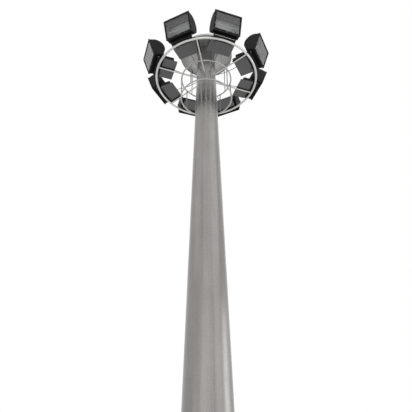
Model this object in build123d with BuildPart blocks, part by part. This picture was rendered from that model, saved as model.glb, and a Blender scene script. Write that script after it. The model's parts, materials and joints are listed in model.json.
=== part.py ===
from build123d import *
import os
from math import cos, radians, sin, sqrt

# High mast floodlight tower.  Millimetres, +Z up.  The origin is the centre of the
# underside of the base flange.  Angles around the mast start at -Y, the front, and
# grow towards +X.

# ---- driving dimensions: mast -------------------------------------------------
ring_height = 11000.0          # plane of the floodlight ring
shaft_base_diameter = 1028.0   # outside, at the underside of the flange
shaft_ring_diameter = 478.0    # outside, at the plane of the ring
shaft_wall = 8.0
shaft_top_rise = 880.0         # top of the shaft above the plane of the ring

flange_diameter = 1480.0
flange_thickness = 45.0
flange_bore_diameter = 760.0
anchor_circle_diameter = 1290.0
anchor_hole_diameter = 52.0
anchor_count = 16
gusset_height = 260.0
gusset_thickness = 16.0
gusset_tip_height = 30.0
gusset_edge_gap = 25.0

door_angle = 180.0           # at the back of the mast
door_bottom = 700.0
door_width = 300.0
door_height = 1000.0
door_corner_radius = 60.0
door_lap = 18.0              # of the door over its frame
door_thickness = 8.0
door_frame_width = 50.0
door_frame_proud = 14.0
earth_boss_angle = 150.0
earth_boss_height = 480.0
earth_boss_diameter = 50.0
earth_boss_length = 40.0

# ---- driving dimensions: ring -------------------------------------------------
ring_radius = 1230.0         # to the centre of the tube
ring_tube_diameter = 54.0
spoke_count = 6
spoke_first_angle = 50.0
spoke_diameter = 36.0
hoop_radius = 609.0          # to the centre of the tube
hoop_tube_diameter = 34.0
hoop_spacing = 612.0         # from the upper hoop down to the lower one
post_count = 8
post_first_angle = 9.2
post_diameter = 22.0
strut_count = 4
strut_first_angle = 38.0
strut_diameter = 20.0

# ---- driving dimensions: canopy -----------------------------------------------
canopy_radius = 662.0
canopy_rim_rise = 840.0      # lower edge of the rim above the plane of the ring
canopy_rim_height = 55.0
canopy_slope_height = 130.0
canopy_thickness = 5.0
canopy_cap_radius = 90.0
canopy_cap_height = 70.0

# ---- driving dimensions: floodlights ------------------------------------------
lamp_count = 8
lamp_first_angle = 19.2
lamp_tilt = 20.0             # how far the glass looks down from level
bezel_width = 649.0
bezel_height = 484.0
bezel_depth = 22.0
bezel_bar = 28.0
glass_thickness = 5.0
glass_edge_gap = 0.5
glass_lap = 6.0
housing_side_inset = 7.0     # of the housing behind the outside of the bezel
housing_top_inset = 9.0
housing_depth = 312.0
housing_flat_depth = 100.0
housing_wall = 4.0
reflector_gap = 9.0
reflector_sheet = 2.0
pivot_reach = 45.0           # the tilting axis, outside the ring's tube centre
pivot_rise = 75.0            # the tilting axis, above the plane of the ring
pivot_depth = 96.0           # the tilting axis, behind the bezel's rear face
pivot_gap = 35.0             # from the tilting axis up to the housing's underside
pivot_pin_diameter = 16.0
pivot_hole_clearance = 0.5
pivot_end_length = 10.0
lug_radius = 22.0
lug_thickness = 8.0
lug_gap = 5.0
stirrup_half_width = 262.0
stirrup_thickness = 8.0
stirrup_depth = 70.0

# ---- driving dimensions: gear boxes and conduits -------------------------------
tray_width = 570.0
tray_depth = 330.0           # along the radius
tray_thickness = 22.0
tray_ring_gap = 80.0         # from the tray to the ring's tube centre
tray_edge_radius = 8.0
box_height = 90.0
box_side_gap = 4.0           # from the box to the ends and the outer edge of its tray
box_back_gap = 85.0          # from the box to the inner edge of its tray
bearer_width = 84.0
bearer_thickness = 8.0
bearer_set_back = 15.0       # from the end of a bearer to the inner edge of the trays
bracket_width = 40.0
bracket_thickness = 6.0
bracket_lap = 40.0
bracket_spread = 180.0
conduit_diameter = 14.0
conduit_gap = 2.0            # between a conduit and the spoke that it passes over
conduit_low_share = 0.45     # of the way from the shaft to the box, where a conduit is lowest
conduit_shaft_rise = 62.0
conduit_box_rise = 95.0

# ---- worked out ---------------------------------------------------------------
shaft_top = ring_height + shaft_top_rise
shaft_taper = (shaft_base_diameter - shaft_ring_diameter) / ring_height
bezel_half_height = bezel_height / 2
housing_half_width = bezel_width / 2 - housing_side_inset
housing_half_height = bezel_half_height - housing_top_inset
pivot_radius = ring_radius + pivot_reach
bearer_underside = ring_height + spoke_diameter / 2
tray_underside = bearer_underside + bearer_thickness
tray_outer_radius = ring_radius - tray_ring_gap
tray_inner_radius = tray_outer_radius - tray_depth
box_inner_radius = tray_inner_radius + box_back_gap


def shaft_radius(height):
    """Outside radius of the shaft at a height."""
    return (shaft_base_diameter - shaft_taper * height) / 2


def outward(angle):
    """Level unit vector that points away from the mast's axis at an angle."""
    return Vector(sin(radians(angle)), -cos(radians(angle)), 0)


def sideways(angle):
    """Level unit vector along the ring at an angle."""
    return Vector(cos(radians(angle)), sin(radians(angle)), 0)


def upright_plane(angle, height=0.0):
    """Plane through the axis: x points outward, y points up."""
    return Plane(origin=(0, 0, height), x_dir=outward(angle), z_dir=sideways(angle) * -1)


def facing_plane(angle, radius, height):
    """Plane that faces outward: x runs along the ring, y points up."""
    return Plane(
        origin=outward(angle) * radius + Vector(0, 0, height),
        x_dir=sideways(angle),
        z_dir=outward(angle),
    )


def angles(first, count):
    """Evenly spaced angles around the mast."""
    return [first + 360.0 / count * index for index in range(count)]


def save(name, shape):
    """Labels a finished piece and writes its STEP file."""
    shape.label = name
    export_step(shape, f"parts/{name}.step")


os.makedirs("parts", exist_ok=True)

# ---- shaft --------------------------------------------------------------------
shaft_bottom = flange_thickness
door_middle = door_bottom + door_height / 2
door_plane = facing_plane(door_angle, 0.0, door_middle)
door_reach = shaft_radius(door_bottom) + 2 * door_frame_proud

with BuildPart() as shaft_solid:
    with BuildSketch(Plane.XY.offset(shaft_bottom)):
        Circle(shaft_radius(shaft_bottom))
    with BuildSketch(Plane.XY.offset(shaft_top)):
        Circle(shaft_radius(shaft_top))
    loft()

with BuildPart() as shaft_bore:
    with BuildSketch(Plane.XY.offset(shaft_bottom)):
        Circle(shaft_radius(shaft_bottom) - shaft_wall)
    with BuildSketch(Plane.XY.offset(shaft_top)):
        Circle(shaft_radius(shaft_top) - shaft_wall)
    loft()

with BuildPart() as shaft:
    add(shaft_solid.part)
    add(shaft_bore.part, mode=Mode.SUBTRACT)
    with BuildSketch(door_plane):
        RectangleRounded(door_width, door_height, door_corner_radius)
    extrude(amount=door_reach, mode=Mode.SUBTRACT)
save("shaft", shaft.part)

# ---- base flange with its gussets ---------------------------------------------
with BuildPart() as base_flange:
    with BuildSketch():
        Circle(flange_diameter / 2)
        Circle(flange_bore_diameter / 2, mode=Mode.SUBTRACT)
        with PolarLocations(anchor_circle_diameter / 2, anchor_count):
            Circle(anchor_hole_diameter / 2, mode=Mode.SUBTRACT)
    extrude(amount=flange_thickness)
save("base_flange", base_flange.part)

gusset_reach = flange_diameter / 2 - gusset_edge_gap
gusset_root = shaft_radius(flange_thickness + gusset_height) - shaft_wall
gusset_half_step = 180.0 / anchor_count

with BuildPart() as base_gussets:
    for angle in angles(90 + gusset_half_step, anchor_count):
        with BuildSketch(upright_plane(angle, flange_thickness)):
            with BuildLine():
                Polyline(
                    (gusset_root, 0),
                    (gusset_reach, 0),
                    (gusset_reach, gusset_tip_height),
                    (gusset_root, gusset_height),
                    close=True,
                )
            make_face()
        extrude(amount=gusset_thickness / 2, both=True)
    add(shaft_solid.part, mode=Mode.SUBTRACT)
save("base_gussets", base_gussets.part)

# ---- service door, its frame and the earthing boss -----------------------------
door_face = shaft_radius(door_bottom) + door_frame_proud

with BuildPart() as door_frame:
    with BuildSketch(door_plane):
        RectangleRounded(
            door_width + 2 * door_frame_width,
            door_height + 2 * door_frame_width,
            door_corner_radius + door_frame_width,
        )
        RectangleRounded(door_width, door_height, door_corner_radius, mode=Mode.SUBTRACT)
    extrude(amount=door_face)
    add(shaft_solid.part, mode=Mode.SUBTRACT)
save("door_frame", door_frame.part)

with BuildPart() as service_door:
    with BuildSketch(door_plane.offset(door_face)):
        RectangleRounded(
            door_width + 2 * door_lap,
            door_height + 2 * door_lap,
            door_corner_radius + door_lap,
        )
    extrude(amount=door_thickness)
save("service_door", service_door.part)

with BuildPart() as earth_boss:
    with BuildSketch(facing_plane(earth_boss_angle, 0.0, earth_boss_height)):
        Circle(earth_boss_diameter / 2)
    extrude(amount=shaft_radius(earth_boss_height) + earth_boss_length)
    add(shaft_solid.part, mode=Mode.SUBTRACT)
save("earth_boss", earth_boss.part)

# ---- ring, spokes and hoops ----------------------------------------------------
with BuildPart() as outer_ring:
    with BuildSketch(Plane.XZ):
        with Locations((ring_radius, ring_height)):
            Circle(ring_tube_diameter / 2)
    revolve(axis=Axis.Z)
save("outer_ring", outer_ring.part)

spoke_root = shaft_radius(ring_height) - shaft_wall

with BuildPart() as ring_spokes:
    for angle in angles(spoke_first_angle, spoke_count):
        with BuildSketch(facing_plane(angle, spoke_root, ring_height)):
            Circle(spoke_diameter / 2)
        extrude(amount=ring_radius - spoke_root)
    add(shaft_solid.part, mode=Mode.SUBTRACT)
    add(outer_ring.part, mode=Mode.SUBTRACT)
save("ring_spokes", ring_spokes.part)


def hoop_tube(height):
    """A whole hoop around the shaft at a height."""
    with BuildPart() as tube:
        with BuildSketch(Plane.XZ):
            with Locations((hoop_radius, height)):
                Circle(hoop_tube_diameter / 2)
        revolve(axis=Axis.Z)
    return tube.part


upper_tube = hoop_tube(ring_height)
lower_tube = hoop_tube(ring_height - hoop_spacing)

with BuildPart() as upper_hoop:
    add(upper_tube)
    add(ring_spokes.part, mode=Mode.SUBTRACT)
save("upper_hoop", upper_hoop.part)
save("lower_hoop", lower_tube)

with BuildPart() as hoop_posts:
    for angle in angles(post_first_angle, post_count):
        foot = outward(angle) * hoop_radius + Vector(0, 0, ring_height - hoop_spacing)
        with BuildSketch(Plane(origin=foot)):
            Circle(post_diameter / 2)
        extrude(amount=hoop_spacing)
    add(upper_tube, mode=Mode.SUBTRACT)
    add(lower_tube, mode=Mode.SUBTRACT)
save("hoop_posts", hoop_posts.part)

# ---- canopy --------------------------------------------------------------------
rim_bottom = ring_height + canopy_rim_rise
rim_top = rim_bottom + canopy_rim_height
canopy_peak = rim_top + canopy_slope_height
seat_underside = canopy_peak - canopy_thickness

with BuildPart() as canopy:
    with BuildSketch(Plane.XZ):
        with BuildLine():
            Polyline(
                (canopy_radius, rim_bottom),
                (canopy_radius, rim_top),
                (canopy_cap_radius, canopy_peak),
                (canopy_cap_radius, canopy_peak + canopy_cap_height),
                (0, canopy_peak + canopy_cap_height),
                (0, seat_underside),
                (canopy_cap_radius, seat_underside),
                (canopy_radius - canopy_thickness, rim_top - canopy_thickness),
                (canopy_radius - canopy_thickness, rim_bottom),
                close=True,
            )
        make_face()
    revolve(axis=Axis.Z)
save("canopy", canopy.part)


def canopy_underside(radius):
    """Height of the canopy's underside at a radius outside its cap."""
    inner = canopy_radius - canopy_thickness
    share = (inner - radius) / (inner - canopy_cap_radius)
    return rim_top - canopy_thickness + share * canopy_slope_height


head_cap_radius = shaft_radius(shaft_top) + shaft_wall
head_underside = canopy_underside(head_cap_radius)

with BuildPart() as head_cap:
    with BuildSketch(Plane.XY.offset(shaft_top)):
        Circle(head_cap_radius)
    extrude(amount=head_underside - shaft_top)
save("head_cap", head_cap.part)

with BuildPart() as canopy_struts:
    for angle in angles(strut_first_angle, strut_count):
        foot = outward(angle) * hoop_radius + Vector(0, 0, ring_height)
        with BuildSketch(Plane(origin=foot)):
            Circle(strut_diameter / 2)
        extrude(amount=canopy_underside(hoop_radius + strut_diameter / 2) - ring_height)
    add(upper_tube, mode=Mode.SUBTRACT)
save("canopy_struts", canopy_struts.part)

# ---- floodlights ---------------------------------------------------------------
def gaze(angle):
    """Unit vector that the glass looks along."""
    level = outward(angle) * cos(radians(lamp_tilt))
    return level - Vector(0, 0, sin(radians(lamp_tilt)))


def climb(angle):
    """Unit vector up the glass."""
    level = outward(angle) * sin(radians(lamp_tilt))
    return level + Vector(0, 0, cos(radians(lamp_tilt)))


def pivot_centre(angle):
    """Middle of a floodlight's tilting axis."""
    return outward(angle) * pivot_radius + Vector(0, 0, ring_height + pivot_rise)


def glass_centre(angle):
    """Centre of the bezel's rear face."""
    forward = gaze(angle) * pivot_depth
    return pivot_centre(angle) + forward + climb(angle) * (pivot_gap + housing_half_height)


def front_plane(angle):
    """Plane of the bezel's rear face: x along the ring, y up the glass."""
    return Plane(origin=glass_centre(angle), x_dir=sideways(angle), z_dir=gaze(angle))


def side_plane(angle, offset):
    """Upright section of a floodlight: x is the depth behind the glass, y is up the glass."""
    origin = glass_centre(angle) + sideways(angle) * offset
    return Plane(origin=origin, x_dir=gaze(angle) * -1, z_dir=sideways(angle))


def pivot_plane(angle, offset):
    """Plane across the tilting axis, at a distance along it."""
    origin = pivot_centre(angle) + sideways(angle) * offset
    return Plane(origin=origin, x_dir=outward(angle) * -1, z_dir=sideways(angle))


def bowl_section(half_height, depth):
    """Section of the housing or of its hollow: flat flanks, then half an ellipse."""
    with BuildSketch() as section:
        with BuildLine():
            back = EllipticalCenterArc(
                (housing_flat_depth, 0),
                depth - housing_flat_depth,
                half_height,
                start_angle=-90,
                arc_size=180,
            )
            Polyline(back @ 1, (0, half_height), (0, -half_height), back @ 0)
        make_face()
    return section.sketch


lug_centre = stirrup_half_width - stirrup_thickness - lug_gap - lug_thickness
lug_rise = pivot_gap + lug_radius


def make_housing(angle):
    """Hollow housing with its two lugs and the pin they turn on."""
    with BuildPart() as housing:
        with BuildSketch(side_plane(angle, -housing_half_width)):
            add(bowl_section(housing_half_height, housing_depth))
        extrude(amount=2 * housing_half_width)
        for side in (-1, 1):
            middle = side * (lug_centre + lug_thickness / 2)
            with BuildSketch(pivot_plane(angle, middle)):
                Circle(lug_radius)
                with Locations((0, lug_rise / 2)):
                    Rectangle(2 * lug_radius, lug_rise)
            extrude(amount=lug_thickness / 2, both=True)
        with BuildSketch(side_plane(angle, housing_wall - housing_half_width)):
            add(bowl_section(housing_half_height - housing_wall, housing_depth - housing_wall))
        extrude(amount=2 * (housing_half_width - housing_wall), mode=Mode.SUBTRACT)
        with BuildSketch(pivot_plane(angle, 0)):
            Circle(pivot_pin_diameter / 2)
        extrude(amount=stirrup_half_width + pivot_end_length, both=True)
    return housing.part


def make_bezel(angle):
    """Front frame with a rebate that holds the glass."""
    opening_width = bezel_width - 2 * bezel_bar
    opening_height = bezel_height - 2 * bezel_bar
    rebate_depth = bezel_depth - glass_lap
    with BuildPart() as bezel:
        with BuildSketch(front_plane(angle)):
            Rectangle(bezel_width, bezel_height)
            Rectangle(opening_width, opening_height, mode=Mode.SUBTRACT)
        extrude(amount=bezel_depth)
        with BuildSketch(front_plane(angle)):
            Rectangle(opening_width + 2 * glass_lap, opening_height + 2 * glass_lap)
        extrude(amount=rebate_depth, mode=Mode.SUBTRACT)
    return bezel.part


def make_glass(angle):
    """Pane that lies against the lip of the bezel."""
    pane_width = bezel_width - 2 * (bezel_bar - glass_lap + glass_edge_gap)
    pane_height = bezel_height - 2 * (bezel_bar - glass_lap + glass_edge_gap)
    pane_back = bezel_depth - glass_lap - glass_thickness
    with BuildPart() as glass:
        with BuildSketch(front_plane(angle).offset(pane_back)):
            Rectangle(pane_width, pane_height)
        extrude(amount=glass_thickness)
    return glass.part


def make_reflector(angle):
    """Folded sheet trough with closed ends, just inside the housing."""
    gap = housing_wall + reflector_gap
    outer_half_width = housing_half_width - gap
    outer_half_height = housing_half_height - gap
    inner_half_height = outer_half_height - reflector_sheet
    with BuildPart() as reflector:
        with BuildSketch(side_plane(angle, -outer_half_width)):
            add(bowl_section(outer_half_height, housing_depth - gap))
        extrude(amount=2 * outer_half_width)
        with BuildSketch(front_plane(angle)):
            Rectangle(
                2 * (housing_half_width - housing_wall - glass_edge_gap),
                2 * (housing_half_height - housing_wall - glass_edge_gap),
            )
        extrude(amount=-reflector_sheet)
        with BuildSketch(side_plane(angle, reflector_sheet - outer_half_width)):
            add(bowl_section(inner_half_height, housing_depth - gap - reflector_sheet))
        extrude(amount=2 * (outer_half_width - reflector_sheet), mode=Mode.SUBTRACT)
    return reflector.part


for number, angle in enumerate(angles(lamp_first_angle, lamp_count), start=1):
    save(f"housing_{number}", make_housing(angle))
    save(f"bezel_{number}", make_bezel(angle))
    save(f"glass_{number}", make_glass(angle))
    save(f"reflector_{number}", make_reflector(angle))

# ---- stirrups ------------------------------------------------------------------
stirrup_foot = ring_height + ring_tube_diameter / 2
stirrup_leg_rise = pivot_rise - ring_tube_diameter / 2

with BuildPart() as stirrups:
    for angle in angles(lamp_first_angle, lamp_count):
        foot = outward(angle) * (ring_radius + pivot_reach / 2)
        base_plane = Plane(
            origin=foot + Vector(0, 0, stirrup_foot),
            x_dir=sideways(angle),
            z_dir=(0, 0, 1),
        )
        with BuildSketch(base_plane):
            Rectangle(2 * stirrup_half_width, stirrup_depth)
        extrude(amount=stirrup_thickness)
        for side in (-1, 1):
            middle = side * (stirrup_half_width - stirrup_thickness / 2)
            with BuildSketch(pivot_plane(angle, middle)):
                Circle(lug_radius)
                with Locations((0, -stirrup_leg_rise / 2)):
                    Rectangle(2 * lug_radius, stirrup_leg_rise)
            extrude(amount=stirrup_thickness / 2, both=True)
        with BuildSketch(pivot_plane(angle, 0)):
            Circle(pivot_pin_diameter / 2 + pivot_hole_clearance)
        extrude(amount=2 * stirrup_half_width, both=True, mode=Mode.SUBTRACT)
save("stirrups", stirrups.part)

# ---- gear boxes on their trays -----------------------------------------------------
def level_plane(angle, radius, height):
    """Level plane: x runs along the ring, y points outward."""
    origin = outward(angle) * radius + Vector(0, 0, height)
    return Plane(origin=origin, x_dir=sideways(angle) * -1, z_dir=(0, 0, 1))


def radial_block(angle, inner, outer, width, height, thickness):
    """Upright block between two distances from the axis, standing at a height."""
    with BuildPart() as block:
        with BuildSketch(level_plane(angle, (inner + outer) / 2, height)):
            Rectangle(width, outer - inner)
        extrude(amount=thickness)
    return block.part


with BuildPart() as gear_trays:
    for angle in angles(lamp_first_angle, lamp_count):
        middle = (tray_inner_radius + tray_outer_radius) / 2
        with BuildSketch(level_plane(angle, middle, tray_underside)):
            RectangleRounded(tray_width, tray_depth, tray_edge_radius)
        extrude(amount=tray_thickness)
save("gear_trays", gear_trays.part)

box_outer_radius = tray_outer_radius - box_side_gap
box_width = tray_width - 2 * box_side_gap
box_underside = tray_underside + tray_thickness

with BuildPart() as gear_boxes:
    for angle in angles(lamp_first_angle, lamp_count):
        add(radial_block(
            angle, box_inner_radius, box_outer_radius, box_width, box_underside, box_height
        ))
save("gear_boxes", gear_boxes.part)

bearer_end = tray_inner_radius + bearer_set_back

with BuildPart() as tray_bearers:
    for angle in angles(spoke_first_angle, spoke_count):
        add(radial_block(
            angle, bearer_end, ring_radius, bearer_width, bearer_underside, bearer_thickness
        ))
    add(outer_ring.part, mode=Mode.SUBTRACT)
save("tray_bearers", tray_bearers.part)

bracket_inner = tray_outer_radius - bracket_lap
bracket_outer = sqrt(ring_radius**2 - bracket_spread**2)
bracket_underside = tray_underside - bracket_thickness

with BuildPart() as tray_brackets:
    for angle in angles(lamp_first_angle, lamp_count):
        middle = (bracket_inner + bracket_outer) / 2
        with BuildSketch(level_plane(angle, middle, bracket_underside)):
            for side in (-1, 1):
                with Locations((side * bracket_spread, 0)):
                    Rectangle(bracket_width, bracket_outer - bracket_inner)
        extrude(amount=bracket_thickness)
    add(outer_ring.part, mode=Mode.SUBTRACT)
save("tray_brackets", tray_brackets.part)

# ---- supply conduits from the shaft to the gear boxes -----------------------------
conduit_low_rise = (spoke_diameter + conduit_diameter) / 2 + conduit_gap
conduit_shaft_height = ring_height + conduit_shaft_rise

with BuildPart() as supply_conduits:
    for angle in angles(lamp_first_angle, lamp_count):
        start = outward(angle) * shaft_radius(conduit_shaft_height)
        finish = outward(angle) * box_inner_radius
        low = start + (finish - start) * conduit_low_share
        with BuildLine() as route:
            ThreePointArc(
                start + Vector(0, 0, conduit_shaft_height),
                low + Vector(0, 0, ring_height + conduit_low_rise),
                finish + Vector(0, 0, ring_height + conduit_box_rise),
            )
        with BuildSketch(Plane(origin=route.line @ 0, z_dir=route.line % 0)):
            Circle(conduit_diameter / 2)
        sweep(path=route.line)
    add(shaft_solid.part, mode=Mode.SUBTRACT)
    add(gear_boxes.part, mode=Mode.SUBTRACT)
save("supply_conduits", supply_conduits.part)
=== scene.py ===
import json
import math

import bmesh
import bpy
from mathutils import Matrix, Vector


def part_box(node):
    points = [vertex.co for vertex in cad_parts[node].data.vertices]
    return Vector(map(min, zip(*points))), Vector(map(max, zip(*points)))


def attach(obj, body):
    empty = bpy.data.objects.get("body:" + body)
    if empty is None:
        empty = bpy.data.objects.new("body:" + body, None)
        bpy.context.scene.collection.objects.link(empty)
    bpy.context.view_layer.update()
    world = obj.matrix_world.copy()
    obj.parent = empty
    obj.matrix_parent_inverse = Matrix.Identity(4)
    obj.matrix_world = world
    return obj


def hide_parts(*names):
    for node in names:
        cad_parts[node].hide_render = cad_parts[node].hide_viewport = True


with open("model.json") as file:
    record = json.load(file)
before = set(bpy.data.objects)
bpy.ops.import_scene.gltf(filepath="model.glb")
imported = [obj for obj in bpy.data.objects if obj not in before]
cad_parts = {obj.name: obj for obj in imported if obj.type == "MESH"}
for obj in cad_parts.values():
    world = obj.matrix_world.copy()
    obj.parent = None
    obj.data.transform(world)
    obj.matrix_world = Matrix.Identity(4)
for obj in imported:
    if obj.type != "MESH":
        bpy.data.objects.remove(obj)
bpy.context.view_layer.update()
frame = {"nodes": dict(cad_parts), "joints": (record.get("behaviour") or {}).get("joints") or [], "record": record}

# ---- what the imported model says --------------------
NODES = frame["nodes"]
JOINTS = {joint["child"]: joint for joint in frame["joints"]}
LAMPS = sorted(JOINTS, key=lambda body: int(body.rsplit("_", 1)[1]))
MOUNTS = {mount["name"]: mount for mount in frame["record"]["mounts"]}
ANCHORS = MOUNTS["anchor_bolts"]["dims"]
SHAFT_WALL = 0.008           # the head cap stands out from the shaft by as much

ring_low, ring_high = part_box("outer_ring")
RING_TUBE = (ring_high.z - ring_low.z) / 2
RING_HEIGHT = (ring_high.z + ring_low.z) / 2
RING_RADIUS = (ring_high.x - ring_low.x) / 2 - RING_TUBE
hoop_low, hoop_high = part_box("lower_hoop")
HOOP_TUBE = (hoop_high.z - hoop_low.z) / 2
HOOP_RADIUS = hoop_high.x - HOOP_TUBE
LOWER_HEIGHT = hoop_low.z + HOOP_TUBE
spoke_low, spoke_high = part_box("ring_spokes")
SPOKE_RADIUS = (spoke_high.z - spoke_low.z) / 2
shaft_low, shaft_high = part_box("shaft")
SHAFT_TOP = shaft_high.z
SHAFT_FOOT = shaft_low.z
SHAFT_FOOT_RADIUS = (shaft_high.x - shaft_low.x) / 2
cap_low, cap_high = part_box("head_cap")
SHAFT_TOP_RADIUS = (cap_high.x - cap_low.x) / 2 - SHAFT_WALL
canopy_low, canopy_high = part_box("canopy")
CANOPY_RADIUS = (canopy_high.x - canopy_low.x) / 2
FLANGE_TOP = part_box("base_flange")[1].z


def outward(angle):
    """Level direction away from the mast's axis; an angle of 0 looks to the front."""
    return Vector((math.sin(angle), -math.cos(angle), 0))


def sideways(angle):
    return Vector((math.cos(angle), math.sin(angle), 0))


def bearing(point):
    """Angle at which a point lies round the mast."""
    return math.atan2(point[0], -point[1])


def mast_point(angle, radius, height):
    return outward(angle) * radius + Vector((0, 0, height))


def node_points(node):
    return [vertex.co for vertex in NODES[node].data.vertices]


def shaft_radius(height):
    share = (height - SHAFT_FOOT) / (SHAFT_TOP - SHAFT_FOOT)
    return SHAFT_FOOT_RADIUS + (SHAFT_TOP_RADIUS - SHAFT_FOOT_RADIUS) * share


LAMP_ANGLES = [bearing(JOINTS[body]["pos_m"]) for body in LAMPS]


# ---- camera --------------------
CAMERA_BACK = 7.1275         # metres from the mast's axis
CAMERA_DROP = 7.646          # metres below the plane of the ring
CAMERA_PITCH = 29.59
CAMERA_YAW = 0.146
CAMERA_ROLL = -0.203


def make_camera():
    data = bpy.data.cameras.new("camera")
    data.lens = 35.0
    data.sensor_width = 36.0
    camera = bpy.data.objects.new("camera", data)
    bpy.context.scene.collection.objects.link(camera)
    camera.location = (0, -CAMERA_BACK, RING_HEIGHT - CAMERA_DROP)
    turn = Matrix.Rotation(math.radians(CAMERA_YAW), 4, "Z")
    tilt = Matrix.Rotation(math.radians(90 + CAMERA_PITCH), 4, "X")
    roll = Matrix.Rotation(math.radians(CAMERA_ROLL), 4, "Z")
    camera.rotation_euler = (turn @ tilt @ roll).to_euler()
    bpy.context.scene.camera = camera
    bpy.context.scene.view_settings.view_transform = "Standard"


make_camera()


# ---- materials --------------------
BLANK = (0.0, 0.0, 0.0)
FULL = (1.0, 1.0, 1.0)


def shade(tone, share):
    return tuple(min(1.0, part * share) for part in tone)


class Nodes:
    """Short calls for a material's node tree."""

    def __init__(self, name):
        self.material = bpy.data.materials.new(name)
        self.material.use_nodes = True
        self.tree = self.material.node_tree
        self.tree.nodes.clear()
        self.output = self.node("OutputMaterial")
        self.place = self.node("TexCoord").outputs["Object"]

    def node(self, kind):
        return self.tree.nodes.new("ShaderNode" + kind)

    def link(self, source, target):
        self.tree.links.new(source, target)

    def feed(self, value, socket):
        """Links an output to a socket, or sets the socket to a value or a colour."""
        if isinstance(value, bpy.types.NodeSocket):
            self.link(value, socket)
        elif isinstance(value, tuple):
            socket.default_value = (*value, 1.0)
        else:
            socket.default_value = value

    def shader(self, **values):
        node = self.node("BsdfPrincipled")
        for key, value in values.items():
            self.feed(value, node.inputs[key.replace("_", " ")])
        return node

    def show(self, shader):
        self.link(shader.outputs[0], self.output.inputs["Surface"])
        return self.material

    def scaled(self, size):
        """Object coordinates stretched by a size per axis, in metres."""
        node = self.node("Mapping")
        node.inputs["Scale"].default_value = [1 / s for s in size]
        self.link(self.place, node.inputs["Vector"])
        return node.outputs[0]

    def noise(self, size, detail, rough=0.5):
        node = self.node("TexNoise")
        node.inputs["Scale"].default_value = 1.0
        node.inputs["Detail"].default_value = detail
        node.inputs["Roughness"].default_value = rough
        self.link(self.scaled(size), node.inputs["Vector"])
        return node.outputs["Fac"]

    def crystals(self, size):
        """Grey cells, each of one level."""
        node = self.node("TexVoronoi")
        node.inputs["Scale"].default_value = 1.0
        self.link(self.scaled(size), node.inputs["Vector"])
        level = self.node("RGBToBW")
        self.link(node.outputs["Color"], level.inputs[0])
        return level.outputs[0]

    def ramp(self, value, low, high, dark=BLANK, light=FULL):
        """Colour from dark, where a value is low, to light."""
        node = self.node("ValToRGB")
        for element, position, colour in zip(node.color_ramp.elements, (low, high), (dark, light)):
            element.position = position
            element.color = (*colour, 1.0)
        self.link(value, node.inputs["Fac"])
        return node.outputs["Color"]

    def clouds(self, size, detail, dark, light):
        return self.ramp(self.noise(size, detail), 0.3, 0.7, dark, light)

    def span(self, value, low, high, start, end):
        """Maps a value between low and high to start and end."""
        node = self.node("MapRange")
        node.inputs["From Min"].default_value = low
        node.inputs["From Max"].default_value = high
        node.inputs["To Min"].default_value = start
        node.inputs["To Max"].default_value = end
        self.link(value, node.inputs["Value"])
        return node.outputs["Result"]

    def drift(self, size, start, end):
        """Value that wanders between start and end over the surface."""
        return self.span(self.noise(size, 2.0), 0.3, 0.7, start, end)

    def mix(self, share, one, two, kind="MIX"):
        node = self.node("Mix")
        node.data_type = "RGBA"
        node.blend_type = kind
        self.feed(share, node.inputs[0])
        self.feed(one, node.inputs[6])
        self.feed(two, node.inputs[7])
        return node.outputs[2]

    def bump(self, size, height, strength):
        node = self.node("Bump")
        node.inputs["Distance"].default_value = height
        node.inputs["Strength"].default_value = strength
        self.link(self.noise(size, 2.0), node.inputs["Height"])
        return node.outputs[0]

    def edges(self):
        """1 on worn outer edges and 0 elsewhere."""
        node = self.node("NewGeometry")
        return self.span(node.outputs["Pointiness"], 0.52, 0.59, 0.0, 1.0)


def galvanised(name, tone, rough, spangle=0.01, streak=0.06):
    """Hot-dip zinc: small crystals, cloudy patches and faint runs down the surface."""
    n = Nodes(name)
    base = n.clouds((0.5, 0.5, 0.9), 4.0, shade(tone, 0.93), shade(tone, 1.07))
    runs = n.ramp(n.noise((0.05, 0.05, 2.6), 3.0), 0.35, 0.65)
    base = n.mix(streak, base, runs, "OVERLAY")
    base = n.mix(0.05, base, n.crystals((spangle, spangle, spangle * 1.4)), "OVERLAY")
    roughness = n.drift((0.16, 0.16, 0.4), rough - 0.03, rough + 0.04)
    grain = n.bump((0.05, 0.05, 0.08), 0.0004, 0.05)
    return n.show(n.shader(Base_Color=base, Metallic=0.9, Roughness=roughness, Normal=grain))


def painted(name, tone, rough, wear, peel=0.0006, dust=0.2, gloss=0.5, flake=0.0):
    """Coating with faint orange peel, a film of dust and slightly rubbed edges."""
    n = Nodes(name)
    base = n.clouds((0.22, 0.22, 0.22), 4.0, shade(tone, 0.85), shade(tone, 1.15))
    film = n.ramp(n.noise((0.09, 0.09, 0.3), 5.0, 0.6), 0.5, 0.8)
    dusty = tuple(min(1.0, part * 1.25 + 0.006) for part in tone)
    base = n.mix(n.mix(dust, BLANK, film), base, dusty)
    base = n.mix(n.edges(), base, wear)
    roughness = n.drift((0.05, 0.05, 0.05), rough - 0.02, rough + 0.03)
    skin = n.bump((0.004, 0.004, 0.004), peel, 0.3)
    return n.show(
        n.shader(
            Base_Color=base, Metallic=flake, Roughness=roughness, Normal=skin, Specular_IOR_Level=gloss
        )
    )


def pane(name):
    """Clear glass that lets the lights' rays through, with a faintly cloudy tint."""
    n = Nodes(name)
    tint = n.clouds((0.2, 0.2, 0.2), 3.0, (0.88, 0.90, 0.89), (0.95, 0.97, 0.96))
    glass = n.shader(Base_Color=tint, Roughness=0.0, Transmission_Weight=1.0, IOR=1.45)
    clear = n.node("BsdfTransparent")
    clear.inputs["Color"].default_value = (0.9, 0.92, 0.91, 1.0)
    path = n.node("LightPath")
    mix = n.node("MixShader")
    n.link(path.outputs["Is Shadow Ray"], mix.inputs[0])
    n.link(glass.outputs[0], mix.inputs[1])
    n.link(clear.outputs[0], mix.inputs[2])
    return n.show(mix)


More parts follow.
